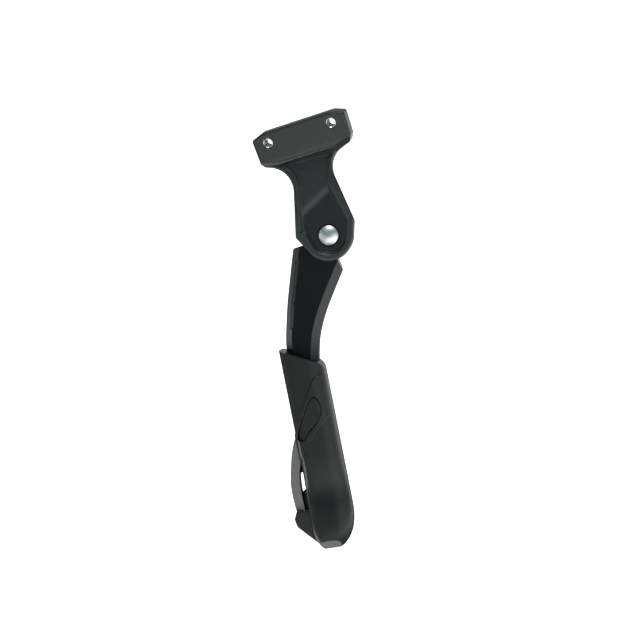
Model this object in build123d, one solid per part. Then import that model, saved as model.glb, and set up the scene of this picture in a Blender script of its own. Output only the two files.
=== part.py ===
import math
import os

from build123d import *

# Driving sizes, in millimetres and degrees
BOLT_SPACING = 40.0
BOLT_HOLE_R = 3.0
BOLT_LINE_TILT = 19.1
PLATE_HALF = 29.2
PLATE_TOP = 6.4
PLATE_FOLD = 13.3
PLATE_THICK = 12.0
PAD_HEIGHT = 1.0
PIVOT_BACK = 18.8
PIVOT_DROP = 58.9
FACE_DEPTH = 21.2
SWING_TILT = 15.0
KNUCKLE_R = 15.5
KNUCKLE_BACK = 20.6
CHEEK = 5.6
LEG_THICK = 9.2
FLANGE = 0.6
PLAY = 0.1
PLATE_ROUND = 1.4
FOLD_ROUND = 4.0
NECK_ROUND = 1.3
RIM_ROUND = 1.0
LIP_WIDTH = 4.3
WEB_SINK = 1.5
POCKET_SINK = 0.9
RAMP = 4.0
PIN_R = 4.0
PIN_HEAD_R = 6.0
CAM_R = 12.2
CAM_FLAT = 1.0
FOLD_ANGLE = 105.0
PLUNGER_R = 3.4
LEG_HALF = 9.3
LEG_BEVEL = 4.4
LEG_BEVEL_DEEP = 3.7
FOOT_LEAN = 13.8
FOOT_HALF = 13.05
FOOT_DEEP = 21.4
FOOT_LENGTH = 120.4
LEG_INSERT = 86.0
TRAVEL = 38.0
SLEEVE_END = 62.0
RIBBON_END = 72.0
RIBBON_RISE = 0.8
TOE_SWELL = 2.0
TOE_ROUND = 26.8
TOE_BLUNT = 14.0
TOE_FLAT = 1.1
CHIN = 7.6
CHIN_TILT = 40.0
SCREW_R = 2.5
BUTTON_PRESS = 3.5
BUTTON_PIN_R = 1.0
SHOE_R = 1.9

# Depth levels through the knuckle, from the rim plane toward the bicycle
SLOT_WIDE = LEG_THICK + 2 * FLANGE + 2 * PLAY
SLOT_END = CHEEK + SLOT_WIDE
LEG_FRONT = CHEEK + PLAY + FLANGE
LEG_REAR = LEG_FRONT + LEG_THICK
LEG_MID = (LEG_FRONT + LEG_REAR) / 2
SLOT_R = CAM_R + 0.6

# Frames: the bolt plate, the plane the leg swings in, and the foot
PLATE = Location((0, 0, 0), (0, -BOLT_LINE_TILT, 0))
SWING = Location((PIVOT_BACK, -FACE_DEPTH, -PIVOT_DROP), (-SWING_TILT, 0, 0))
FOOT_AT = (-14.0, -75.0)
FOOT = Location((FOOT_AT[0], 0, FOOT_AT[1]), (0, -FOOT_LEAN, 0))
SIN_L, COS_L = math.sin(math.radians(FOOT_LEAN)), math.cos(math.radians(FOOT_LEAN))


def slab(sketch, near, far):
    """Solid between two depths of a sketch drawn in x and z."""
    return extrude(Plane.XZ.offset(-near) * sketch, amount=-(far - near))


def barrel(x, z, near, far, radius):
    """Round solid along the depth axis."""
    return Pos(x, (near + far) / 2, z) * Rot(90, 0, 0) * Cylinder(radius, far - near)


def turned(points):
    """Solid turned about the depth axis from points of (radius, depth)."""
    return revolve(make_face(Polyline([(r, d, 0) for r, d in points], close=True)), Axis.Y)


def from_plate(u, v):
    """A point of the bolt plate, seen in the swing plane."""
    t = math.radians(BOLT_LINE_TILT)
    x = u * math.cos(t) - v * math.sin(t)
    z = u * math.sin(t) + v * math.cos(t)
    return (x - PIVOT_BACK, (z + PIVOT_DROP) / math.cos(math.radians(SWING_TILT)))


def from_foot(u, w):
    """A point of the foot, across and down its axis, seen in the swing plane."""
    return (FOOT_AT[0] + u * COS_L + w * SIN_L, FOOT_AT[1] + u * SIN_L - w * COS_L)


def turn(point, degrees):
    a = math.radians(degrees)
    return (point[0] * math.cos(a) - point[1] * math.sin(a), point[0] * math.sin(a) + point[1] * math.cos(a))


# Shoulder of the leg: its top line on the left and its flank on the right
SHOULDER_L = (-22.6, -9.1)
SHOULDER_SLOPE = 0.357
FLANK_LOW = (8.4, -20.4)
FLANK_HIGH = (4.3, -11.4)
PLUNGER_ANGLE = 106.0
PLUNGER_LEAN = 11.0


# Bracket
def plate_solid():
    """Bolt plate: six-sided, round-edged, its lower front edge rolling into a slope down to the neck."""
    h, top, low = PLATE_HALF, PLATE_TOP, PLATE_FOLD
    right = [
        (h - 6.9, top),
        (h, top - 2.5),
        (h - 0.3, -low + 2.8),
        (h - 2.1, -low - 0.5),
        (h - 12.4, -low - 4.6),
    ]
    points = right + [(-u, v) for u, v in reversed(right)]
    radii = [2.0, 1.5, 1.5, 1.8, 3.0]
    outline = make_face(FilletPolyline(*points, radius=radii + radii[::-1], close=True))
    plate = extrude(Plane.XZ * outline, amount=PLATE_THICK)
    plate = fillet(plate.faces().sort_by(Axis.Y)[0].edges(), PLATE_ROUND)
    for angle, pivot in ((0, 0), (14.0, h - 11.2), (-14.0, -h + 11.2)):
        plate -= slope_tool(angle, pivot)
    return plate


def slope_tool(angle, pivot):
    """Bar that rolls the lower front of the plate over and slopes it back at 45 degrees."""
    reach = PLATE_THICK * 0.7
    start = math.radians(12)

    def roll(degrees):
        t = math.radians(degrees)
        y = FOLD_ROUND * (math.cos(start) - math.cos(t)) - PLATE_THICK
        return (y, FOLD_ROUND * (0.3 + math.sin(start) - math.sin(t)))

    end, front = roll(45), -PLATE_THICK - 1
    below = [(end[0] + reach, end[1] - reach), (front, -reach - 4), (front, roll(0)[1])]
    profile = make_face([ThreePointArc(roll(0), roll(22), end), Polyline([end, *below, roll(0)])])
    bar = extrude(Plane.YZ * profile, amount=2 * PLATE_HALF, both=True)
    return Pos(pivot, 0, -PLATE_FOLD) * Rot(0, -angle, 0) * bar


def neck_sketch():
    """Outline of the neck and knuckle in the swing plane."""
    left_low = (-KNUCKLE_R - 4.45, -2.5)
    reach = math.hypot(*left_low)
    tangent = math.atan2(left_low[1], left_low[0]) + math.acos(KNUCKLE_R / reach)
    touch = (KNUCKLE_R * math.cos(tangent), KNUCKLE_R * math.sin(tangent))
    points = [
        (KNUCKLE_R, 0.0),
        (KNUCKLE_R, 10.4),
        from_plate(10.4, -PLATE_FOLD - 5.0),
        from_plate(PLATE_HALF - 2.0, -PLATE_FOLD - 0.9),
        from_plate(PLATE_HALF - 3.0, -6.0),
        from_plate(-PLATE_HALF + 3.0, -6.0),
        from_plate(-PLATE_HALF + 1.2, -PLATE_FOLD + 0.7),
        from_plate(-11.7, -PLATE_FOLD - 6.9),
        left_low,
        touch,
    ]
    upper = FilletPolyline(*points, radius=[4.0, 13.2, 3.0, 3.0, 3.0, 3.0, 14.7, 3.0])
    return make_face([upper, ThreePointArc(touch, (0, -KNUCKLE_R), (KNUCKLE_R, 0.0))])


# Slanting ridge of the neck, from the right rim down to the left rim
RIDGE_HIGH = (-1.7, 31.0)
RIDGE_LOW = (-14.9, 17.4)


def hollow_sketch():
    """Hollow of the neck between its rims; below, the lip curls round the knuckle to the left rim."""
    inner = KNUCKLE_R - LIP_WIDTH
    a = math.radians(213)
    start = (inner * math.cos(a), inner * math.sin(a))
    tip = (start[0] + 7.2 * math.sin(a), start[1] - 7.2 * math.cos(a))
    top = [from_plate(18.0, -PLATE_FOLD + 2.3), from_plate(-22.0, -PLATE_FOLD + 2.3)]
    right = [(inner, 0.0), (inner, 9.6), RIDGE_HIGH, (RIDGE_HIGH[0], 46.0)]
    left = [(-20.0, 37.3), (-16.4, 1.3), tip, start]
    upper = FilletPolyline(*right, *top, *left, radius=[4.0, 3.0, 3.0, 2.0, 2.0, 12.0, 1.6, 1.6])
    return make_face([upper, ThreePointArc(start, (0, -inner), (inner, 0.0))])


def below_ridge():
    """Space below the slanting ridge: a ramp from the web's level to the pocket's level round the pin."""
    web, pocket = WEB_SINK, WEB_SINK + POCKET_SINK
    along = Vector(RIDGE_LOW[0] - RIDGE_HIGH[0], 0, RIDGE_LOW[1] - RIDGE_HIGH[1]).normalized()
    down = Vector(-along.Z, 0, along.X)
    profile = make_face(Polyline([(0, -4), (0, web), (RAMP, pocket), (60, pocket), (60, -4)], close=True))
    plane = Plane(origin=(RIDGE_HIGH[0], 0, RIDGE_HIGH[1]), x_dir=down, z_dir=down.cross(Vector(0, 1, 0)))
    return extrude(plane * profile, amount=60, both=True)


def neck_solid():
    """Neck and knuckle with round edges, round rims and the stepped hollow between them."""
    neck = extrude(Plane.XZ * neck_sketch(), amount=-KNUCKLE_BACK, taper=6)
    neck = fillet(neck.faces().sort_by(Axis.Y)[0].edges(), NECK_ROUND)
    hollow = hollow_sketch()
    neck -= slab(hollow, -1, WEB_SINK)
    front = neck.faces().filter_by(Axis.Y).sort_by(Axis.Y)[0]
    neck = fillet([e for wire in front.inner_wires() for e in wire.edges()], RIM_ROUND)
    pocket = offset(hollow, amount=-0.9, kind=Kind.ARC)
    return neck - (slab(pocket, -1, WEB_SINK + POCKET_SINK) & below_ridge())


def slot_sketch():
    """Room the leg's head and shoulder need over the whole swing, seen along the pivot."""
    gap = 0.45
    stop = lambda x: SHOULDER_L[1] + gap + SHOULDER_SLOPE * (x - SHOULDER_L[0])
    hi, lo = turn(FLANK_HIGH, FOLD_ANGLE), turn(FLANK_LOW, FOLD_ANGLE)
    slope = (lo[1] - hi[1]) / (lo[0] - hi[0])
    fold = lambda x: hi[1] + gap + slope * (x - hi[0])
    left = [(-8.0, stop(-8.0)), (-34.0, stop(-34.0)), (-34.0, -34.0)]
    right = [(40.0, -34.0), (40.0, fold(40.0)), (6.0, fold(6.0))]
    return make_face(Polyline(left + right, close=True)) + Circle(SLOT_R)


def plunger_frame():
    """Frame of the plunger: z runs up its bore from the pivot axis at the middle of the leg."""
    a, b = math.radians(PLUNGER_ANGLE), math.radians(PLUNGER_LEAN)
    up = Vector(math.cos(a) * math.cos(b), -math.sin(b), math.sin(a) * math.cos(b))
    start = Vector(0, LEG_MID, 0) + Vector(math.cos(a), 0, math.sin(a)) * CAM_R
    return Plane(origin=start, x_dir=Vector(math.sin(a), 0, -math.cos(a)), z_dir=up)


def make_bracket():
    neck = neck_solid()
    neck -= slab(slot_sketch(), CHEEK, SLOT_END)
    neck -= barrel(0, 0, 0, CHEEK - 2.4, PIN_HEAD_R + 0.35)
    neck -= barrel(0, 0, 0, KNUCKLE_BACK, PIN_R + 0.05)
    wide, back = PIN_R + 3.05, KNUCKLE_BACK
    sink = [(0, back + 3), (wide, back + 3), (wide, back - 0.6), (PIN_R + 0.05, back - 2.4), (0, back - 2.4)]
    neck -= turned(sink)
    bore = extrude(plunger_frame() * Circle(PLUNGER_R + 0.05), amount=17.5)
    neck -= bore + extrude(plunger_frame() * Circle(PLUNGER_R + 0.05), amount=-3)
    neck = SWING * neck
    neck -= Pos(0, 50 - PAD_HEIGHT, 0) * Box(300, 100, 400)
    bracket = neck + PLATE * plate_solid()
    front = -PLATE_THICK - 0.1
    mouth = [(BOLT_HOLE_R, front + 0.5), (BOLT_HOLE_R + 0.5, front), (0, front)]
    hole = turned([(0, 1), (BOLT_HOLE_R, 1), *mouth])
    for side in (-1, 1):
        bracket -= PLATE * Pos(side * BOLT_SPACING / 2, 0, 0) * hole
    return bracket


# Pivot
def make_pin():
    """Rivet pin: domed head, plain shank, tail spread into the countersink of the back cheek."""
    seat, back = CHEEK - 2.4, KNUCKLE_BACK
    crown, edge = (0, seat - 2.6), (PIN_HEAD_R, seat - 0.8)
    dome = ThreePointArc(crown, (PIN_HEAD_R * 0.55, seat - 2.13), edge)
    shank = [(PIN_HEAD_R, seat), (PIN_R, seat), (PIN_R, back - 2.3)]
    tail = [(PIN_R + 2.7, back - 0.7), (PIN_R + 1.4, back - 0.1), (0, back)]
    return SWING * revolve(make_face([dome, Polyline([edge, *shank, *tail, crown])]), Axis.Y)


def make_bush(near, inward):
    """Flanged bush; the flange lies between leg and cheek."""
    inner, outer = PIN_R + 0.05, PIN_R + 1.48
    rim, flange = outer + 1.8, near + inward * FLANGE
    end = flange + inward * (LEG_THICK / 2 - 0.2)
    ring = [(inner, near), (rim, near), (rim, flange), (outer, flange), (outer, end), (inner, end)]
    return SWING * turned(ring)


# Detent
def make_plunger():
    frame = plunger_frame()
    lift = 0.55
    body = frame * Pos(0, 0, 4.4 + lift) * Cylinder(PLUNGER_R, 6.4)
    cone = Cone(PLUNGER_R, PLUNGER_R - 1.2, 1.2, align=(Align.CENTER, Align.CENTER, Align.MIN))
    nose = frame * Pos(0, 0, 1.2 + lift) * Rot(180, 0, 0) * cone
    return SWING * (body + nose)


def make_spring():
    low, high, turns = 8.2, 17.2, 5
    path = Helix(pitch=(high - low - 1.2) / turns, height=high - low - 1.2, radius=PLUNGER_R - 0.75)
    wire = Plane(origin=path @ 0, z_dir=path % 0, x_dir=(1, 0, 0)) * Rectangle(1.0, 0.9)
    coil = sweep(wire, path=path, is_frenet=True)
    return SWING * (plunger_frame() * Pos(0, 0, low + 0.6) * coil)


# Leg
def left_edge():
    """Left edge of the leg, from the shoulder down to the end inside the foot."""
    inside, end = from_foot(-LEG_HALF, 5.0), from_foot(-LEG_HALF, LEG_INSERT)
    through = [SHOULDER_L, (-24.0, -28.3), (-24.9, -44.0), (-25.0, -57.0), (-24.4, -70.0), inside]
    return [Spline(through, tangents=[(-0.1, -1), (SIN_L, -COS_L)]), Line(inside, end)]


def right_edge():
    """Right edge of the leg, from the end inside the foot up to the shoulder corner."""
    inside, end = from_foot(LEG_HALF, 9.0), from_foot(LEG_HALF, LEG_INSERT)
    through = [inside, (-4.0, -70.5), (-3.8, -61.6), (-2.3, -52.8), (0.4, -42.8), (4.6, -30.8), FLANK_LOW]
    return [Line(end, inside), Spline(through, tangents=[(-SIN_L, COS_L), (0.39, 1)])]


# Flat panels in the left bevel, as shares of the left edge
BEVEL_PANELS = ((0.085, 0.315), (0.33, 0.45), (0.465, 0.665))


def leg_sketch():
    """Outline of the leg: cam head, shoulder, bowed shank, straight end along the foot."""
    shoulder_in = (-9.6, SHOULDER_L[1] + SHOULDER_SLOPE * (-9.6 - SHOULDER_L[0]))
    left, right = left_edge(), right_edge()
    head = [Line(FLANK_LOW, FLANK_HIGH), Line(FLANK_HIGH, shoulder_in), Line(shoulder_in, SHOULDER_L)]
    return make_face([*left, Line(left[1] @ 1, right[0] @ 0), *right, *head]) + Circle(CAM_R)


def bevel_tool(curves, depth, facing, across, deep):
    """Three-sided bar that follows an edge of the leg and cuts its bevel."""
    path = Plane.XZ.offset(-depth) * Wire(curves)
    along = path % 0
    inward = Vector(0, -1, 0).cross(along)
    corners = [(1.3, 0.3), (-0.3, -1.3), (-0.3, 0.3)]
    bar = make_face(Polyline([(u * across, v * deep * facing) for u, v in corners], close=True))
    return sweep(Plane(origin=path @ 0, x_dir=inward, z_dir=along) * bar, path=path)


def make_leg():
    leg = slab(leg_sketch(), LEG_FRONT, LEG_REAR)
    left, right = left_edge(), right_edge()
    lead = Line((SHOULDER_L[0] + 0.6, SHOULDER_L[1] + 6), SHOULDER_L)
    tail = Line(FLANK_LOW, (FLANK_LOW[0] + 2.34, FLANK_LOW[1] + 6))
    for edge in ([lead, *left], [*right, tail]):
        leg -= bevel_tool(edge, LEG_FRONT, 1, LEG_BEVEL, LEG_BEVEL_DEEP)
        leg -= bevel_tool(edge, LEG_REAR, -1, 1.8, 1.5)
    for high, low in BEVEL_PANELS:
        chord = Line(left[0] @ high, left[0] @ low)
        leg -= bevel_tool([chord], LEG_FRONT, 1, 1.18 * LEG_BEVEL, 0.8 * LEG_BEVEL_DEEP)
    leg -= barrel(0, 0, LEG_FRONT - 1, LEG_REAR + 1, PIN_R + 1.5)
    for turned_by in (0, -FOLD_ANGLE):
        flat = Pos(0, LEG_MID, CAM_R - CAM_FLAT + 5) * Box(40, LEG_THICK + 2, 10)
        leg -= Rot(0, 90 - (PLUNGER_ANGLE + turned_by), 0) * flat
    groove = Box(2 * SCREW_R + 0.6, 4.4, TRAVEL + 2 * SCREW_R)
    leg -= FOOT * Pos(0, LEG_REAR, -LEG_INSERT + 10 + TRAVEL / 2) * groove
    return SWING * leg


# Foot
def oval(w, cu, cs, a, b, power=2.5, count=20):
    """Closed section of the foot at w down its axis, squarer on the left than on the right."""
    points = []
    for i in range(count):
        t = 2 * math.pi * i / count
        c, s = math.cos(t), math.sin(t)
        p = power if c > 0 else 4.5
        u = cu + a * math.copysign(abs(c) ** (2 / p), c)
        d = cs + b * math.copysign(abs(s) ** (2 / p), s)
        points.append((u, d, -w))
    return make_face(Spline(points, periodic=True))


def sleeve(end):
    """Straight upper part of the foot, down to end."""
    return Pos(0, 0, 12) * extrude(oval(0, -0.15, LEG_MID, FOOT_HALF, FOOT_DEEP / 2), amount=-end - 12)


# Sections of the toe, as shares of its length
TOE_ROWS = (
    0.0, 0.07, 0.14, 0.22, 0.3, 0.38, 0.46, 0.54,
    0.62, 0.7, 0.77, 0.83, 0.88, 0.925, 0.96, 0.984, 1.0,
)


def closing(share):
    """Width left at a share of the way round the closing end."""
    return (1 - share ** 2.6) ** (1 / 2.4)


def toe():
    """Lower part of the foot: swells forward, closes in a rounded end, flat below with a chin facet."""
    rows = []
    for share in TOE_ROWS:
        at = SLEEVE_END + share * (FOOT_LENGTH - SLEEVE_END)
        rise = min(max((share - 0.06) / 0.5, 0.0), 1.0)
        swell = rise * rise * (3 - 2 * rise)
        late = max(0.0, 1 - (FOOT_LENGTH - at) / TOE_ROUND)
        last = max(0.0, 1 - (FOOT_LENGTH - at) / TOE_BLUNT)
        half = (FOOT_HALF + 0.4 * swell) * closing(0.985 * late)
        deep = (FOOT_DEEP / 2 + 0.8 * swell) * closing(0.9 * last)
        across, level = -0.15 - 2.9 * late ** 2, LEG_MID - TOE_SWELL * swell
        rows.append(oval(at, across, level, half, deep, 2.5 - 0.2 * swell))
    front = LEG_MID - TOE_SWELL - FOOT_DEEP / 2 - 0.8
    chin = Pos(0, front, CHIN - FOOT_LENGTH) * Rot(CHIN_TILT, 0, 0) * Pos(0, -10, 0) * Box(60, 20, 60)
    return loft(rows) - chin - Pos(0, LEG_MID, TOE_FLAT - FOOT_LENGTH - 20) * Box(80, 80, 40)


def down_axis(points):
    """Smooth curve through points across and down the axis of the foot."""
    return Spline([(u, -w) for u, w in points])


def band_sketch():
    """Ribbon that wraps the front of the foot between its two slanting edges."""
    top = down_axis([
        (15.0, 12.0), (9.0, 12.3), (5.4, 14.4), (2.5, 18.4),
        (-1.4, 25.2), (-5.6, 33.0), (-10.0, 41.0), (-16.0, 50.5),
    ])
    low = down_axis([
        (-16.0, 68.0), (-12.3, 62.7), (-8.0, 56.0), (-3.5, 50.8),
        (3.6, 43.4), (9.6, 38.0), (15.0, 33.0),
    ])
    return make_face([top, Line((-16, -50.5), (-16, -68.0)), low, Line((15, -33), (15, -12))])


def spur_sketch():
    """Kick spur seen from the front: leaves the ribbon on the left and runs down to the heel."""
    outer = down_axis([
        (-10.0, 43.0), (-14.1, 49.5), (-17.3, 56.2), (-20.2, 65.2),
        (-21.9, 71.5), (-23.1, 78.0), (-23.4, 85.7), (-22.4, 97.0),
    ])
    inner = down_axis([
        (-16.7, 97.0), (-16.6, 84.0), (-16.3, 76.9), (-14.9, 69.4),
        (-12.3, 62.7), (-8.0, 56.0), (-5.5, 53.0),
    ])
    return make_face([outer, Line(outer @ 1, inner @ 0), inner, Line(inner @ 1, outer @ 0)])


def spur_web_sketch():
    """Back wall of the spur, with its window."""
    outer = [(-8.0, -48.0), (-13.0, -52.0), (-17.0, -60.0), (-20.0, -70.0), (-21.5, -80.0), (-21.5, -97.0)]
    window = make_face(Polyline([(-17.8, -72.0), (-12.0, -71.0), (-11.0, -80.5), (-17.8, -84.0)], close=True))
    return make_face(Polyline([*outer, (-8.0, -97.0)], close=True)) - window


def heel_sketch():
    points = [(-5, -94.5), (-22.0, -93.6), (-24.6, -99.0), (-23.8, -104.0), (-12.6, -116.0), (-3.0, -114.0)]
    return make_face(FilletPolyline(*points, radius=[1.0, 2.0, 3.0, 4.0, 1.5, 1.0], close=True))


def leaf_sketch(grow=0.0):
    """Leaf outline of the release button, widened all round by grow."""
    right = [(4.2, -25.2), (6.3, -29.5), (5.9, -35.0), (2.0, -40.8), (-4.8, -47.1), (-9.4, -50.3)]
    points = right + [(-10.7, -49.0), (-10.1, -45.6), (-6.9, -39.0), (-1.6, -30.2), (1.8, -26.0)]
    wide = []
    for i, (u, z) in enumerate(points):
        before, after = points[i - 1], points[(i + 1) % len(points)]
        du, dz = after[0] - before[0], after[1] - before[1]
        size = math.hypot(du, dz)
        wide.append((u - grow * dz / size, z + grow * du / size))
    return make_face(Spline(wide, periodic=True))


def mouth_sketch():
    """What is cut off above the slanting mouth, with its rounded right corner."""
    rise = lambda u: 0.16 - 0.484 * u
    corner, down = (8.8, rise(8.8)), (FOOT_HALF - 0.3, -10.0)
    line = Polyline([down, (30, down[1]), (30, 50), (-40, 50), (-40, rise(-40)), corner])
    return make_face([line, ThreePointArc(corner, (11.1, -6.2), down)])


def rocker_frame():
    """Frame of the button: x runs down the leaf, y into the foot, z along its pin."""
    lean = math.atan2(13.9, 25.6)
    down, across = (-math.sin(lean), 0, -math.cos(lean)), (math.cos(lean), 0, -math.sin(lean))
    return Plane(origin=(-1.5, 0, -36.5), x_dir=down, z_dir=across)


def button_pin_at(radius, length):
    return rocker_frame() * Pos(0, 2.4, 0) * Cylinder(radius, length)


def shoe_at(radius, near, far):
    at = rocker_frame().from_local_coords((-7.5, 0, 0))
    return barrel(at.X, at.Z, near, far, radius)


def screw_at(radius, near, far):
    return barrel(0, -(LEG_INSERT - 10 - TRAVEL), near, far, radius)


def kick_spur():
    """Spur, its back wall and the heel that it runs into."""
    tilt = Pos(-14.0, 4.0, 0) * Rot(0, 0, -29) * Pos(0, 2.5, -75) * Box(40, 5.0, 120)
    heel = slab(heel_sketch(), 5.5, 17.0)
    heel = fillet(heel.edges().filter_by(Axis.Y, reverse=True).filter_by(lambda e: e.center().X < -10), 1.5)
    return (slab(spur_sketch(), -5, 25) & tilt) + heel + slab(spur_web_sketch(), 11.5, 14.5)


def channel():
    """Straight channel for the leg, with the leg's front bevels."""
    gap = 0.3
    half, front, rear = LEG_HALF + gap, LEG_FRONT - gap, LEG_REAR + gap
    right = [(half, rear), (half, front + LEG_BEVEL_DEEP), (half - LEG_BEVEL, front)]
    section = make_face(Polyline(right + [(-u, d) for u, d in reversed(right)], close=True))
    return Pos(0, 0, -LEG_INSERT - 2) * extrude(section, amount=LEG_INSERT + 30)


def foot_body():
    """Toe, and the straight sleeve drawn up from the toe's top section."""
    lower = toe()
    return lower + extrude(lower.faces().sort_by(Axis.Z)[-1], amount=SLEEVE_END + 12)


def make_foot():
    ribbon = (Pos(-0.5, -RIBBON_RISE, 0) * sleeve(RIBBON_END)) & slab(band_sketch(), -5, LEG_MID)
    foot = foot_body() + kick_spur() + ribbon
    foot -= slab(mouth_sketch(), -10, 40)
    foot -= channel()
    foot -= slab(leaf_sketch(0.35), -8, LEG_FRONT - 1.4)
    foot -= button_pin_at(BUTTON_PIN_R + 0.03, 13.4)
    foot -= shoe_at(SHOE_R + 0.4, LEG_FRONT - 2.5, LEG_FRONT)
    foot -= screw_at(SCREW_R + 0.05, LEG_REAR, LEG_REAR + 12)
    return foot


def make_button():
    """Leaf rocker: its face follows the ribbon and sinks toward the lower tip."""
    frame = rocker_frame().location
    sink = frame * Rot(0, 0, 4.0) * frame.inverse()
    face = sink * Pos(-0.5, -RIBBON_RISE + 0.5, 0) * sleeve(RIBBON_END)
    button = slab(leaf_sketch(), -6, LEG_FRONT - 2.4) & face
    button -= button_pin_at(BUTTON_PIN_R + 0.06, 40)
    return button - shoe_at(SHOE_R + 0.02, LEG_FRONT - 3.2, LEG_FRONT + 1)


def make_button_spring():
    """Thin arched strip under the lower end of the button."""
    low, high = LEG_FRONT - 1.43, LEG_FRONT - 2.36
    top = ThreePointArc((-3.5, low - 0.25), (0, high), (3.5, low - 0.25))
    under = ThreePointArc((3.5, low), (0, high + 0.25), (-3.5, low))
    strip = make_face([top, Line(top @ 1, under @ 0), under, Line(under @ 1, top @ 0)])
    return rocker_frame() * Pos(10.0, 0, -1.4) * extrude(strip, amount=2.8)


def make_screw():
    """Grub screw with a hexagon socket."""
    near, far = LEG_REAR - 1.9, LEG_MID + FOOT_DEEP / 2 - 0.6
    socket = slab(Pos(0, -(LEG_INSERT - 10 - TRAVEL)) * RegularPolygon(1.5, 6), far - 2.6, far + 1)
    return screw_at(SCREW_R, near, far) - socket


def save(name, solid):
    export_step(solid, "parts/" + name + ".step")


os.makedirs("parts", exist_ok=True)
save("mount_bracket", make_bracket())
save("pivot_pin", make_pin())
save("front_bush", make_bush(CHEEK + PLAY, 1))
save("rear_bush", make_bush(SLOT_END - PLAY, -1))
save("detent_plunger", make_plunger())
save("detent_spring", make_spring())
save("leg", make_leg())
IN_FOOT = SWING * FOOT
save("foot_shell", IN_FOOT * make_foot())
save("release_button", IN_FOOT * make_button())
save("grip_shoe", IN_FOOT * shoe_at(SHOE_R, LEG_FRONT - 3.15, LEG_FRONT - 0.06))
save("button_pin", IN_FOOT * button_pin_at(BUTTON_PIN_R, 13.0))
save("button_spring", IN_FOOT * make_button_spring())
save("travel_screw", IN_FOOT * make_screw())
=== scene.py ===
import math

import bmesh
import bpy
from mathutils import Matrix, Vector


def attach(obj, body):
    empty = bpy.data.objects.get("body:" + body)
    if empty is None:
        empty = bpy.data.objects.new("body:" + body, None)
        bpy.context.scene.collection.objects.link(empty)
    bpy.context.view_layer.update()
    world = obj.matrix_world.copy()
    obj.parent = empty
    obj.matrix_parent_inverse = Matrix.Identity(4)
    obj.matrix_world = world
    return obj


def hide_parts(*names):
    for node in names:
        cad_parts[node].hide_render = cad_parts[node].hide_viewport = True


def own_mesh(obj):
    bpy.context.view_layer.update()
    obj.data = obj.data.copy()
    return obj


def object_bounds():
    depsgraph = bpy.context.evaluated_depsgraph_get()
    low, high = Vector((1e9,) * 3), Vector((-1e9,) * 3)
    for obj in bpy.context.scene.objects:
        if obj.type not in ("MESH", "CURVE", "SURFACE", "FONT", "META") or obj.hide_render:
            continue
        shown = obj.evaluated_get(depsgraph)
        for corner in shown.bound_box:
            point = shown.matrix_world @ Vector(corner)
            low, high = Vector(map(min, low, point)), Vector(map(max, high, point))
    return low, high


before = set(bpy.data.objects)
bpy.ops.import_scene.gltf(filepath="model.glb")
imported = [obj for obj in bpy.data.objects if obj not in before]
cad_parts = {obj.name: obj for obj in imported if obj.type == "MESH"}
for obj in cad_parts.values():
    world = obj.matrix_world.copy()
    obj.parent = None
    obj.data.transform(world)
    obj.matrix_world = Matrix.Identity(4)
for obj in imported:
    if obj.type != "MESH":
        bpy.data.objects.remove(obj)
cad_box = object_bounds()

# Studio
# Lit white paper floor in a dim room, with two dark cloths on it that only the object's shine picks up.
# White sheets stand left, right and behind, with softboxes front left, front right and overhead.
# Two small cards by the floor throw light up at the object.
LENS_MM, SENSOR_MM = 57.375, 36.0
CAMERA_AT = (0.111591, -0.604149, 0.102098)
CAMERA_AZIMUTH, CAMERA_ELEVATION = 9.5, 20.0
SIGHT_FROM, SIGHT_TO = 0.01, 200.0
FLOOR_DROP, FLOOR_REACH = 0.12, 40.0
PAPER_FIBRE_MM, CLOTH_FOLD_MM = 4.0, 60.0
CLOTH_LIFT, CARD_LIFT = 0.002, 0.01
CLOTH_EDGES = {"cloth_below": (-1.2, 0.3, -0.5, 3.0), "cloth_left": (-3.0, -0.4, -3.0, -0.5)}


def linear(hex_colour):
    """Linear RGBA of an sRGB hex colour."""
    shares = [int(hex_colour[i:i + 2], 16) / 255 for i in (1, 3, 5)]
    return [c / 12.92 if c <= 0.04045 else ((c + 0.055) / 1.055) ** 2.4 for c in shares] + [1.0]


def add_node(tree, kind, sockets=None, **settings):
    """Adds a node, gives it its settings, and sets or links its sockets."""
    made = tree.nodes.new("ShaderNode" + kind)
    for name, value in settings.items():
        setattr(made, name, value)
    for socket, value in (sockets or {}).items():
        if isinstance(value, bpy.types.NodeSocket):
            tree.links.new(value, made.inputs[socket])
        else:
            made.inputs[socket].default_value = value
    return made


def new_finish(name):
    """Empty node material."""
    finish = bpy.data.materials.new(name)
    finish.use_nodes = True
    finish.node_tree.nodes.clear()
    return finish, finish.node_tree


def card(name, at, facing, width, height):
    """Flat sheet of the studio, turned to face a point."""
    mesh = bpy.data.meshes.new(name)
    w, h = width / 2, height / 2
    mesh.from_pydata([(-w, -h, 0), (w, -h, 0), (w, h, 0), (-w, h, 0)], [], [(0, 1, 2, 3)])
    sheet = bpy.data.objects.new(name, mesh)
    sheet.location = at
    sheet.rotation_euler = (Vector(facing) - Vector(at)).to_track_quat("Z", "Y").to_euler()
    bpy.context.scene.collection.objects.link(sheet)
    return sheet


def softbox(name, at, facing, width, height, brightness):
    """Evenly lit white sheet, as bright as asked against a white of 1."""
    lamp = bpy.data.lights.new(name, "AREA")
    lamp.shape, lamp.size, lamp.size_y = "RECTANGLE", width, height
    lamp.energy = brightness * math.pi * width * height
    box = bpy.data.objects.new(name, lamp)
    box.location = at
    box.rotation_euler = (Vector(facing) - Vector(at)).to_track_quat("-Z", "Y").to_euler()
    box.visible_camera = False
    bpy.context.scene.collection.objects.link(box)


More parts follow.
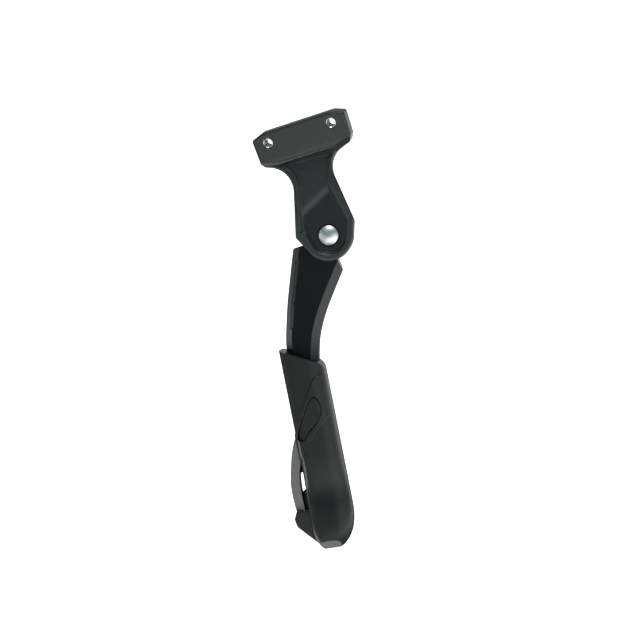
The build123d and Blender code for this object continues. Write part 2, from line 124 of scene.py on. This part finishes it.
camera = bpy.data.objects.new("camera", bpy.data.cameras.new("camera"))
camera.data.sensor_width, camera.data.lens = SENSOR_MM, LENS_MM
camera.data.clip_start, camera.data.clip_end = SIGHT_FROM, SIGHT_TO
camera.location = CAMERA_AT
camera.rotation_euler = (math.radians(90 - CAMERA_ELEVATION), 0, math.radians(CAMERA_AZIMUTH))
bpy.context.scene.collection.objects.link(camera)
bpy.context.scene.camera = camera
bpy.context.scene.view_settings.view_transform = "Standard"

room = bpy.data.worlds.new("dim_room")
bpy.context.scene.world = room
room.use_nodes = True
tree = room.node_tree
tree.nodes.clear()
backdrop = add_node(tree, "Background", {"Color": linear("#ffffff"), "Strength": 1.0})
dimness = add_node(tree, "Background", {"Color": linear("#9fcdd3"), "Strength": 0.17})
seen = add_node(tree, "LightPath").outputs["Is Camera Ray"]
either = add_node(tree, "MixShader", {0: seen, 1: dimness.outputs[0], 2: backdrop.outputs[0]})
add_node(tree, "OutputWorld", {"Surface": either.outputs[0]})

middle = (cad_box[0] + cad_box[1]) / 2
floor_z = cad_box[0].z - FLOOR_DROP
floor = card("floor", (0, 0, floor_z), (0, 0, floor_z + 1), 2 * FLOOR_REACH, 2 * FLOOR_REACH)
pale, tree = new_finish("pale_paper_floor")
fibre = add_node(tree, "TexNoise", {"Scale": 1000 / PAPER_FIBRE_MM, "Detail": 3.0})
shade = add_node(tree, "MapRange", {"Value": fibre.outputs["Fac"], "To Min": 0.86, "To Max": 0.92})
paper = add_node(tree, "BsdfPrincipled", {
    "Base Color": shade.outputs["Result"], "Roughness": 0.9,
    "Emission Color": linear("#ffffff"), "Emission Strength": 1.35})
add_node(tree, "OutputMaterial", {"Surface": paper.outputs[0]})
floor.data.materials.append(pale)

dark, tree = new_finish("dark_cloth")
fold = add_node(tree, "TexNoise", {"Scale": 1000 / CLOTH_FOLD_MM})
shade = add_node(tree, "MapRange", {"Value": fold.outputs["Fac"], "To Min": 0.18, "To Max": 0.24})
cloth = add_node(tree, "Emission", {"Color": linear("#d4e2e6"), "Strength": shade.outputs["Result"]})
add_node(tree, "OutputMaterial", {"Surface": cloth.outputs[0]})
for name, (left, right, near, far) in CLOTH_EDGES.items():
    at = Vector(((left + right) / 2, (near + far) / 2, floor_z + CLOTH_LIFT))
    sheet = card(name, at, at + Vector((0, 0, 1)), right - left, far - near)
    sheet.visible_camera = sheet.visible_shadow = sheet.visible_diffuse = False
    sheet.data.materials.append(dark)

card_z = floor_z + CARD_LIFT
softbox("left_sheet", (-1.0, 0.15, 0.0), middle, 0.9, 0.9, 0.25)
softbox("right_sheet", (1.0, 0.1, 0.0), middle, 0.9, 0.9, 0.30)
softbox("front_left_softbox", (-0.93, -0.52, -0.1), middle, 0.28, 0.7, 0.9)
softbox("front_right_softbox", (0.70, -0.85, -0.05), middle, 1.0, 0.8, 0.75)
softbox("top_softbox", (-0.04, -0.22, 0.9), middle, 0.32, 0.22, 17.0)
softbox("floor_bounce", (0.011, -0.114, card_z), (0.03, -0.07, middle.z), 0.12, 0.09, 3.9)
softbox("backdrop_sheet", (0.1, 1.3, 0.1), middle, 2.2, 1.4, 0.5)
softbox("left_bounce", (-0.13, -0.04, card_z), (-0.13, -0.04, 0.0), 0.14, 0.24, 2.0)

# Bracket
# Forged aluminium bracket with a bolt plate, a dished neck and a forked knuckle.
# Shot-blasted and powder-coated satin black, slightly pebbled; glossier round the knuckle and in the
# fold under the plate; the knuckle's proud rim is painted paler, a painted highlight where it catches
# light.
PEBBLE_MM, COAT_CLOUD_MM = 0.9, 18.0
EDGE_ROUND_MM, RAMP_ROUND_MM = 0.6, 3.2

# Places on the bracket are in metres along three directions: up the neck, out of the knuckle's face,
# and down from the line of bolts.
UP_NECK, SWING_AXIS, BELOW_BOLTS = (-0.718, 0.0, 0.696), (0.0, -0.96593, 0.25882), (0.327, 0.0, -0.945)
RAMP_LOW, RAMP_MIDDLE, RAMP_HIGH = -0.046, -0.0335, -0.021
GLOSS_FROM, GLOSS_TO = -0.038, -0.029
RIM_LOW, RIM_HIGH = -0.040, -0.032
RIM_FOOT, RIM_TOP = 0.0046, 0.0051
FOLD_IN, FOLD_FULL, FOLD_ENDS, FOLD_OUT, FOLD_GLOSS = 0.0095, 0.0115, 0.015, 0.017, 0.16

bracket_coat, tree = new_finish("satin_black_powder_coat")
spot = add_node(tree, "TexCoord").outputs["Object"]
pebble = add_node(tree, "TexNoise", {"Vector": spot, "Scale": 1000 / PEBBLE_MM, "Detail": 4.0})
cloud = add_node(tree, "TexNoise", {"Vector": spot, "Scale": 1000 / COAT_CLOUD_MM, "Detail": 3.0})
tone = add_node(tree, "MixRGB", {
    "Fac": cloud.outputs["Fac"], "Color1": linear("#0f1010"), "Color2": linear("#151616")})
up_neck = add_node(tree, "VectorMath", {0: spot, 1: UP_NECK}, operation="DOT_PRODUCT")
outward = add_node(tree, "VectorMath", {0: spot, 1: SWING_AXIS}, operation="DOT_PRODUCT")
# Painted highlight: the knuckle's proud rim is painted paler grey where its rounded face would catch
# light.
proud = add_node(tree, "MapRange", {
    "Value": outward.outputs["Value"], "From Min": RIM_FOOT, "From Max": RIM_TOP})
below_ramp = add_node(tree, "MapRange", {
    "Value": up_neck.outputs["Value"], "From Min": RIM_LOW, "From Max": RIM_HIGH,
    "To Min": 1.0, "To Max": 0.0})
rim_highlight_mask = add_node(tree, "Math", {
    0: proud.outputs["Result"], 1: below_ramp.outputs["Result"]}, operation="MULTIPLY")
tone = add_node(tree, "MixRGB", {
    "Fac": rim_highlight_mask.outputs["Value"], "Color1": tone.outputs["Color"], "Color2": linear("#2a2d2d")})
lay = add_node(tree, "MapRange", {
    "Value": up_neck.outputs["Value"], "From Min": GLOSS_FROM, "From Max": GLOSS_TO,
    "To Min": 0.33, "To Max": 0.46})
below_bolts = add_node(tree, "VectorMath", {0: spot, 1: BELOW_BOLTS}, operation="DOT_PRODUCT")
into_fold = add_node(tree, "MapRange", {
    "Value": below_bolts.outputs["Value"], "From Min": FOLD_IN, "From Max": FOLD_FULL,
    "To Max": -FOLD_GLOSS})
past_fold = add_node(tree, "MapRange", {
    "Value": below_bolts.outputs["Value"], "From Min": FOLD_ENDS, "From Max": FOLD_OUT,
    "To Max": FOLD_GLOSS})
pooled = add_node(tree, "Math", {
    0: into_fold.outputs["Result"], 1: past_fold.outputs["Result"]}, operation="ADD")
laid = add_node(tree, "Math", {0: lay.outputs["Result"], 1: pooled.outputs["Value"]}, operation="ADD")
flow = add_node(tree, "Math", {
    0: cloud.outputs["Fac"], 1: 0.08, 2: laid.outputs["Value"]}, operation="MULTIPLY_ADD")
up_ramp = add_node(tree, "MapRange", {
    "Value": up_neck.outputs["Value"], "From Min": RAMP_LOW, "From Max": RAMP_MIDDLE,
    "To Min": EDGE_ROUND_MM / 1000, "To Max": RAMP_ROUND_MM / 1000})
past_ramp = add_node(tree, "MapRange", {
    "Value": up_neck.outputs["Value"], "From Min": RAMP_MIDDLE, "From Max": RAMP_HIGH,
    "To Min": 0.0, "To Max": (RAMP_ROUND_MM - EDGE_ROUND_MM) / 1000})
edge_round = add_node(tree, "Math", {
    0: up_ramp.outputs["Result"], 1: past_ramp.outputs["Result"]}, operation="SUBTRACT")
rounded = add_node(tree, "Bevel", {"Radius": edge_round.outputs["Value"]}, samples=12)
relief = add_node(tree, "Bump", {
    "Height": pebble.outputs["Fac"], "Strength": 0.12, "Distance": 0.0002,
    "Normal": rounded.outputs["Normal"]})
coat = add_node(tree, "BsdfPrincipled", {
    "Base Color": tone.outputs["Color"], "Roughness": flow.outputs["Value"],
    "Normal": relief.outputs["Normal"], "IOR": 1.5, "Specular IOR Level": 0.8})
add_node(tree, "OutputMaterial", {"Surface": coat.outputs[0]})
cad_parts["mount_bracket"].data.materials[0] = bracket_coat

# Threads
# Two M6 holes tapped through the plate after coating, so their walls are bare bright aluminium.
# The thread is a fine helical ridge that glints as a stack of bright arcs.
TAP_R_MM, TAP_WALL_MM, TAP_PITCH_MM, TAP_DEPTH_MM, TAP_FLANK = 2.96, 0.06, 1.0, 0.52, 2.4
TAP_START_MM, TAP_LENGTH_MM = 0.45, 10.8
PLATE_MM, TAP_SPACING_MM, TAP_TILT = 12.0, 40.0, 19.1
CHATTER_MM = 0.6
AROUND, PER_TURN = 48, 8

bare, tree = new_finish("bare_tapped_aluminium")
spot = add_node(tree, "TexCoord").outputs["Object"]
chatter = add_node(tree, "TexNoise", {"Vector": spot, "Scale": 1000 / CHATTER_MM, "Detail": 3.0})
tone = add_node(tree, "MixRGB", {
    "Fac": chatter.outputs["Fac"], "Color1": linear("#c9cbcd"), "Color2": linear("#eef0f1")})
polish = add_node(tree, "MapRange", {"Value": chatter.outputs["Fac"], "To Min": 0.18, "To Max": 0.34})
metal = add_node(tree, "BsdfPrincipled", {
    "Base Color": tone.outputs["Color"], "Metallic": 1.0, "Roughness": polish.outputs["Result"]})
add_node(tree, "OutputMaterial", {"Surface": metal.outputs[0]})


def tapped_wall(name):
    """Closed thin sleeve, threaded inside and plain outside."""
    shape = bmesh.new()
    steps = int(TAP_LENGTH_MM / TAP_PITCH_MM * PER_TURN)
    inner, outer = [], []
    for i in range(steps + 1):
        depth = TAP_START_MM + TAP_LENGTH_MM * i / steps
        ring_in, ring_out = [], []
        for j in range(AROUND):
            a = 2 * math.pi * j / AROUND
            phase = (depth / TAP_PITCH_MM - j / AROUND) % 1.0
            ridge = max(0.0, 1 - abs(phase - 0.5) * TAP_FLANK)
            r = TAP_R_MM - TAP_WALL_MM - TAP_DEPTH_MM * ridge
            ring_in.append(shape.verts.new((r * math.cos(a), -PLATE_MM + depth, r * math.sin(a))))
            back = (TAP_R_MM * math.cos(a), -PLATE_MM + depth, TAP_R_MM * math.sin(a))
            ring_out.append(shape.verts.new(back))
        inner.append(ring_in)
        outer.append(ring_out)
    for rows, turned in ((inner, False), (outer, True)):
        for low, high in zip(rows, rows[1:]):
            for j in range(AROUND):
                k = (j + 1) % AROUND
                face = (low[j], low[k], high[k], high[j])
                shape.faces.new(face[::-1] if turned else face)
    for j in range(AROUND):
        k = (j + 1) % AROUND
        shape.faces.new((inner[0][k], inner[0][j], outer[0][j], outer[0][k]))
        shape.faces.new((inner[-1][j], inner[-1][k], outer[-1][k], outer[-1][j]))
    bmesh.ops.recalc_face_normals(shape, faces=shape.faces)
    bmesh.ops.scale(shape, vec=(0.001, 0.001, 0.001), verts=shape.verts)
    mesh = bpy.data.meshes.new(name)
    shape.to_mesh(mesh)
    shape.free()
    for face in mesh.polygons:
        face.use_smooth = True
    return bpy.data.objects.new(name, mesh)


for side, name in ((-1, "tapped_hole_left"), (1, "tapped_hole_right")):
    wall = tapped_wall(name)
    across = side * TAP_SPACING_MM / 2000
    tilt = math.radians(TAP_TILT)
    wall.location = (across * math.cos(tilt), 0, across * math.sin(tilt))
    bpy.context.scene.collection.objects.link(wall)
    wall.data.materials.append(bare)
    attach(wall, "bracket")

# Pivot pin
# Rivet pin turned from steel, its domed head tumbled and nickel-plated, its tail set behind.
# The head is the one bright piece: a satin metal that blurs floor and lamps into a soft shine.
PLATING_HAZE_MM = 2.5
bright, tree = new_finish("satin_nickel_plated_steel")
spot = add_node(tree, "TexCoord").outputs["Object"]
haze = add_node(tree, "TexNoise", {"Vector": spot, "Scale": 1000 / PLATING_HAZE_MM, "Detail": 2.0})
polish = add_node(tree, "MapRange", {"Value": haze.outputs["Fac"], "To Min": 0.32, "To Max": 0.48})
tone = add_node(tree, "MixRGB", {
    "Fac": haze.outputs["Fac"], "Color1": linear("#e4e6e9"), "Color2": linear("#f6f7f8")})
metal = add_node(tree, "BsdfPrincipled", {
    "Base Color": tone.outputs["Color"], "Metallic": 1.0, "Roughness": polish.outputs["Result"]})
add_node(tree, "OutputMaterial", {"Surface": metal.outputs[0]})
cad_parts["pivot_pin"].data.materials[0] = bright

# Bushes
# Two flanged plain bushes pressed into the leg's eye, moulded from natural acetal.
# Milky white and slightly glossy, with faint flow marks.
FLOW_MARK_MM = 3.0
acetal, tree = new_finish("moulded_natural_acetal")
spot = add_node(tree, "TexCoord").outputs["Object"]
flow = add_node(tree, "TexNoise", {"Vector": spot, "Scale": 1000 / FLOW_MARK_MM, "Detail": 2.0})
tone = add_node(tree, "MixRGB", {
    "Fac": flow.outputs["Fac"], "Color1": linear("#dcdad4"), "Color2": linear("#e4e2dd")})
resin = add_node(tree, "BsdfPrincipled", {
    "Base Color": tone.outputs["Color"], "Roughness": 0.35, "IOR": 1.48})
add_node(tree, "OutputMaterial", {"Surface": resin.outputs[0]})
for name in ("front_bush", "rear_bush"):
    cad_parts[name].data.materials[0] = acetal

# Shadow ring
# Thin matte black ring round the pin's head over its counterbore's gap: painted shade, a dark part
# standing in for the shadow in that gap, so it reads as a dark line round the bright head.
SHADOW_RING_IN_MM, SHADOW_RING_OUT_MM, SHADOW_RING_THICK_MM, SHADOW_RING_EDGE_MM = 6.04, 6.85, 0.27, 0.12
PIVOT_AT, SWING_TILT, POCKET_DEPTH_MM = (0.0188, -0.0212, -0.0589), 15.0, 2.4
SKIN_MM = 1.0
shadow_black, tree = new_finish("painted_shadow_black")
spot = add_node(tree, "TexCoord").outputs["Object"]
skin = add_node(tree, "TexNoise", {"Vector": spot, "Scale": 1000 / SKIN_MM, "Detail": 2.0})
tone = add_node(tree, "MixRGB", {
    "Fac": skin.outputs["Fac"], "Color1": linear("#070707"), "Color2": linear("#0c0c0c")})
resin = add_node(tree, "BsdfPrincipled", {
    "Base Color": tone.outputs["Color"], "Roughness": 0.7, "IOR": 1.53, "Specular IOR Level": 0.15})
add_node(tree, "OutputMaterial", {"Surface": resin.outputs[0]})
near, far = POCKET_DEPTH_MM - SHADOW_RING_THICK_MM, POCKET_DEPTH_MM
shoulder = near + SHADOW_RING_EDGE_MM
section = (
    (SHADOW_RING_IN_MM, far), (SHADOW_RING_OUT_MM, far), (SHADOW_RING_OUT_MM, shoulder),
    (SHADOW_RING_OUT_MM - SHADOW_RING_EDGE_MM, near), (SHADOW_RING_IN_MM + SHADOW_RING_EDGE_MM, near),
    (SHADOW_RING_IN_MM, shoulder))
shape = bmesh.new()
rings = []
for j in range(AROUND):
    a = 2 * math.pi * j / AROUND
    ring = []
    for r, depth in section:
        ring.append(shape.verts.new((r * math.cos(a) / 1000, depth / 1000, r * math.sin(a) / 1000)))
    rings.append(ring)
for one, two in zip(rings, rings[1:] + rings[:1]):
    for k in range(len(section)):
        shape.faces.new((one[k - 1], one[k], two[k], two[k - 1]))
bmesh.ops.recalc_face_normals(shape, faces=shape.faces)
mesh = bpy.data.meshes.new("painted_shadow_ring")
shape.to_mesh(mesh)
shape.free()
mesh.materials.append(shadow_black)
# Painted shade: this dark ring stands in for the shadow in the gap round the pin head.
shadow_ring = bpy.data.objects.new("painted_shadow_ring", mesh)
shadow_ring.location = PIVOT_AT
shadow_ring.rotation_euler = (math.radians(-SWING_TILT), 0, 0)
bpy.context.scene.collection.objects.link(shadow_ring)
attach(shadow_ring, "bracket")

# Hidden steel
# Plunger, rocker pin and grip shoe are ground steel; the springs are drawn and tempered.
# Fine grinding marks on the first, a straw-grey oxide on the second.
GRIND_MARK_MM, OXIDE_MM = 0.5, 1.5
ground, tree = new_finish("ground_steel")
spot = add_node(tree, "TexCoord").outputs["Object"]
marks = add_node(tree, "TexNoise", {"Vector": spot, "Scale": 1000 / GRIND_MARK_MM, "Detail": 3.0})
polish = add_node(tree, "MapRange", {"Value": marks.outputs["Fac"], "To Min": 0.25, "To Max": 0.40})
tone = add_node(tree, "MixRGB", {
    "Fac": marks.outputs["Fac"], "Color1": linear("#8d9093"), "Color2": linear("#a6a9ac")})
metal = add_node(tree, "BsdfPrincipled", {
    "Base Color": tone.outputs["Color"], "Metallic": 1.0, "Roughness": polish.outputs["Result"]})
add_node(tree, "OutputMaterial", {"Surface": metal.outputs[0]})
for name in ("detent_plunger", "grip_shoe", "button_pin"):
    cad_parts[name].data.materials[0] = ground

tempered, tree = new_finish("tempered_spring_steel")
spot = add_node(tree, "TexCoord").outputs["Object"]
oxide = add_node(tree, "TexNoise", {"Vector": spot, "Scale": 1000 / OXIDE_MM, "Detail": 3.0})
tone = add_node(tree, "MixRGB", {
    "Fac": oxide.outputs["Fac"], "Color1": linear("#5d5a55"), "Color2": linear("#77736b")})
metal = add_node(tree, "BsdfPrincipled", {
    "Base Color": tone.outputs["Color"], "Metallic": 1.0, "Roughness": 0.38})
add_node(tree, "OutputMaterial", {"Surface": metal.outputs[0]})
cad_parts["detent_spring"].data.materials[0] = tempered

# Leg
# Forged aluminium leg with bevelled flanks, coated smooth black and sliding in the foot.
# Its flat face is glossier than the bracket, most of all low down where the foot has burnished it.
PEEL_MM, LEG_CLOUD_MM, LEG_ROUND_MM = 1.6, 25.0, 0.8
DOWN_LEG, BURNISH_FROM, BURNISH_FULL = (0.23853, -0.25133, -0.93801), 0.085, 0.130
leg_coat, tree = new_finish("smooth_black_coat")
spot = add_node(tree, "TexCoord").outputs["Object"]
peel = add_node(tree, "TexNoise", {"Vector": spot, "Scale": 1000 / PEEL_MM, "Detail": 2.0})
cloud = add_node(tree, "TexNoise", {"Vector": spot, "Scale": 1000 / LEG_CLOUD_MM, "Detail": 2.0})
tone = add_node(tree, "MixRGB", {
    "Fac": cloud.outputs["Fac"], "Color1": linear("#0a0c0e"), "Color2": linear("#0e1012")})
along = add_node(tree, "VectorMath", {0: spot, 1: DOWN_LEG}, operation="DOT_PRODUCT")
slid = add_node(tree, "MapRange", {
    "Value": along.outputs["Value"], "From Min": BURNISH_FROM, "From Max": BURNISH_FULL,
    "To Min": 0.27, "To Max": 0.17})
sheen = add_node(tree, "Math", {
    0: cloud.outputs["Fac"], 1: 0.06, 2: slid.outputs["Result"]}, operation="MULTIPLY_ADD")
rounded = add_node(tree, "Bevel", {"Radius": LEG_ROUND_MM / 1000}, samples=8)
relief = add_node(tree, "Bump", {
    "Height": peel.outputs["Fac"], "Strength": 0.08, "Distance": 0.0002,
    "Normal": rounded.outputs["Normal"]})
coat = add_node(tree, "BsdfPrincipled", {
    "Base Color": tone.outputs["Color"], "Roughness": sheen.outputs["Value"],
    "Normal": relief.outputs["Normal"], "IOR": 1.5})
add_node(tree, "OutputMaterial", {"Surface": coat.outputs[0]})
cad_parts["leg"].data.materials[0] = leg_coat

# Foot
# Telescoping foot moulded in black glass-filled nylon: ribbon, kick spur, heel and rounded toe.
# The mould was lightly blasted, so the skin is satin with a fine grain; the spur's flat face is painted
# light grey, a painted highlight for the light it catches from the left, broken into patches.
GRAIN_MM, NYLON_CLOUD_MM, HIGHLIGHT_PATCH_MM, FOOT_ROUND_MM = 0.35, 14.0, 2.2, 0.6
FOOT_TOP = 0.13456
SPUR_NORMAL, SPUR_NEAR, SPUR_FULL = (-0.4708, -0.8748, 0.1148), 0.985, 0.997
LIT_SPUR_FROM, LIT_SPUR_FULL = FOOT_TOP + 0.045, FOOT_TOP + 0.053
LIT_SPUR_ENDS, LIT_SPUR_TO = FOOT_TOP + 0.0905, FOOT_TOP + 0.096
nylon, tree = new_finish("moulded_black_nylon")
spot = add_node(tree, "TexCoord").outputs["Object"]
grain = add_node(tree, "TexNoise", {"Vector": spot, "Scale": 1000 / GRAIN_MM, "Detail": 2.0})
cloud = add_node(tree, "TexNoise", {"Vector": spot, "Scale": 1000 / NYLON_CLOUD_MM, "Detail": 3.0})
tone = add_node(tree, "MixRGB", {
    "Fac": cloud.outputs["Fac"], "Color1": linear("#0d0e0e"), "Color2": linear("#121313")})
sheen = add_node(tree, "MapRange", {"Value": cloud.outputs["Fac"], "To Min": 0.38, "To Max": 0.45})
along = add_node(tree, "VectorMath", {0: spot, 1: DOWN_LEG}, operation="DOT_PRODUCT")
facing = add_node(tree, "VectorMath", {
    0: add_node(tree, "TexCoord").outputs["Normal"], 1: SPUR_NORMAL}, operation="DOT_PRODUCT")
# Painted highlight: the spur's flat face, picked out by the way it faces, is painted light grey in
# patches.
spur_face = add_node(tree, "MapRange", {
    "Value": facing.outputs["Value"], "From Min": SPUR_NEAR, "From Max": SPUR_FULL})
from_ribbon = add_node(tree, "MapRange", {
    "Value": along.outputs["Value"], "From Min": LIT_SPUR_FROM, "From Max": LIT_SPUR_FULL})
above_heel = add_node(tree, "MapRange", {
    "Value": along.outputs["Value"], "From Min": LIT_SPUR_ENDS, "From Max": LIT_SPUR_TO,
    "To Min": 0.9, "To Max": 0.0})
on_spur = add_node(tree, "Math", {
    0: spur_face.outputs["Result"], 1: from_ribbon.outputs["Result"]}, operation="MULTIPLY")
spur_lit_mask = add_node(tree, "Math", {
    0: on_spur.outputs["Value"], 1: above_heel.outputs["Result"]}, operation="MULTIPLY")
highlight_patches = add_node(tree, "TexNoise", {
    "Vector": spot, "Scale": 1000 / HIGHLIGHT_PATCH_MM, "Detail": 5.0, "Roughness": 0.7})
patchy = add_node(tree, "MapRange", {"Value": highlight_patches.outputs["Fac"], "To Min": 0.7, "To Max": 1.0})
painted_spur_highlight = add_node(tree, "Math", {
    0: spur_lit_mask.outputs["Value"], 1: patchy.outputs["Result"]}, operation="MULTIPLY")
tone = add_node(tree, "MixRGB", {
    "Fac": painted_spur_highlight.outputs["Value"], "Color1": tone.outputs["Color"], "Color2": linear("#6d6c6b")})
rounded = add_node(tree, "Bevel", {"Radius": FOOT_ROUND_MM / 1000}, samples=8)
relief = add_node(tree, "Bump", {
    "Height": grain.outputs["Fac"], "Strength": 0.10, "Distance": 0.0001,
    "Normal": rounded.outputs["Normal"]})
resin = add_node(tree, "BsdfPrincipled", {
    "Base Color": tone.outputs["Color"], "Roughness": sheen.outputs["Result"],
    "Normal": relief.outputs["Normal"], "IOR": 1.53})
add_node(tree, "OutputMaterial", {"Surface": resin.outputs[0]})


def eased(value, low, high):
    """Smooth step from 0 at low to 1 at high, and its slope there."""
    share = min(1.0, max(0.0, (value - low) / (high - low)))
    rise = share ** 3 * (share * (6 * share - 15) + 10)
    return rise, 30 * (share * (1 - share)) ** 2 / (high - low)


# The front of the toe draws in to a waist and swells again to a cap, both fading out to the left and back.
# Each normal follows its surface, so the moulded edges stay as crisp as the solid's.
WAIST_MM, WAIST_FROM_MM, WAIST_TO_MM = 3.4, 62.0, 92.0
CAP_MM, CAP_FROM_MM, CAP_TO_MM = 2.6, 74.0, 116.0
ACROSS_FOOT, TOE_LEFT, TOE_FULL = (0.97113, 0.06173, 0.2304), -0.0441, -0.0381
TOE_BACK, TOE_FRONT = -0.0054, 0.0075
right, front, down = Vector(ACROSS_FOOT), Vector(SWING_AXIS), Vector(DOWN_LEG)
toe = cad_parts["foot_shell"].data.copy()
straight = [Vector(corner.vector) for corner in toe.corner_normals]
leans = []
for vertex in toe.vertices:
    side, side_slope = eased(vertex.co.dot(right), TOE_LEFT, TOE_FULL)
    near, near_slope = eased(vertex.co.dot(front), TOE_BACK, TOE_FRONT)
    waist, waist_slope = eased(vertex.co.dot(down) - FOOT_TOP, WAIST_FROM_MM / 1000, WAIST_TO_MM / 1000)
    cap, cap_slope = eased(vertex.co.dot(down) - FOOT_TOP, CAP_FROM_MM / 1000, CAP_TO_MM / 1000)
    out = (CAP_MM * cap - WAIST_MM * waist) / 1000
    out_slope = (CAP_MM * cap_slope - WAIST_MM * waist_slope) / 1000
    lean = right * (side_slope * near * out) + front * (side * near_slope * out)
    leans.append(lean + down * (side * near * out_slope))
    vertex.co += front * (side * near * out)
turned = []
for corner, normal in zip(toe.loops, straight):
    lean = leans[corner.vertex_index]
    turned.append((normal - lean * (front.dot(normal) / (1 + front.dot(lean)))).normalized())
toe.normals_split_custom_set(turned)
toe.materials[0] = nylon
foot = bpy.data.objects.new("waisted_foot", toe)
bpy.context.scene.collection.objects.link(foot)
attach(foot, "foot")
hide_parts("foot_shell")

# Release button
# Leaf-shaped rocker in the ribbon, moulded in the same nylon from a smoother mould.
# A touch more even than the foot, with a dark gap all round.
LEAF_GRAIN_MM, LEAF_ROUND_MM = 0.3, 0.4
leaf, tree = new_finish("moulded_button_nylon")
spot = add_node(tree, "TexCoord").outputs["Object"]
grain = add_node(tree, "TexNoise", {"Vector": spot, "Scale": 1000 / LEAF_GRAIN_MM, "Detail": 2.0})
tone = add_node(tree, "MixRGB", {
    "Fac": grain.outputs["Fac"], "Color1": linear("#0d0e0f"), "Color2": linear("#111213")})
rounded = add_node(tree, "Bevel", {"Radius": LEAF_ROUND_MM / 1000}, samples=8)
relief = add_node(tree, "Bump", {
    "Height": grain.outputs["Fac"], "Strength": 0.08, "Distance": 0.0001,
    "Normal": rounded.outputs["Normal"]})
resin = add_node(tree, "BsdfPrincipled", {
    "Base Color": tone.outputs["Color"], "Roughness": 0.36, "Normal": relief.outputs["Normal"],
    "IOR": 1.53, "Specular IOR Level": 0.36})
add_node(tree, "OutputMaterial", {"Surface": resin.outputs[0]})
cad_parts["release_button"].data.materials[0] = leaf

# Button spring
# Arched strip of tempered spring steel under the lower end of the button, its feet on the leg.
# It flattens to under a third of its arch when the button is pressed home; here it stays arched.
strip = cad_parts["button_spring"].data.copy()
strip.materials[0] = tempered
arch = bpy.data.objects.new("arched_strip", strip)
bpy.context.scene.collection.objects.link(arch)
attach(arch, "foot")
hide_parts("button_spring")
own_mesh(arch)

# Travel screw
# Grub screw with a hexagon socket in the back of the foot, blackened steel.
# Dark and slightly oily, so its shine is uneven.
OIL_MM = 1.2
oxide_black, tree = new_finish("blackened_steel")
spot = add_node(tree, "TexCoord").outputs["Object"]
oil = add_node(tree, "TexNoise", {"Vector": spot, "Scale": 1000 / OIL_MM, "Detail": 3.0})
polish = add_node(tree, "MapRange", {"Value": oil.outputs["Fac"], "To Min": 0.28, "To Max": 0.45})
tone = add_node(tree, "MixRGB", {
    "Fac": oil.outputs["Fac"], "Color1": linear("#232425"), "Color2": linear("#303132")})
metal = add_node(tree, "BsdfPrincipled", {
    "Base Color": tone.outputs["Color"], "Metallic": 0.8, "Roughness": polish.outputs["Result"]})
add_node(tree, "OutputMaterial", {"Surface": metal.outputs[0]})
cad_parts["travel_screw"].data.materials[0] = oxide_black
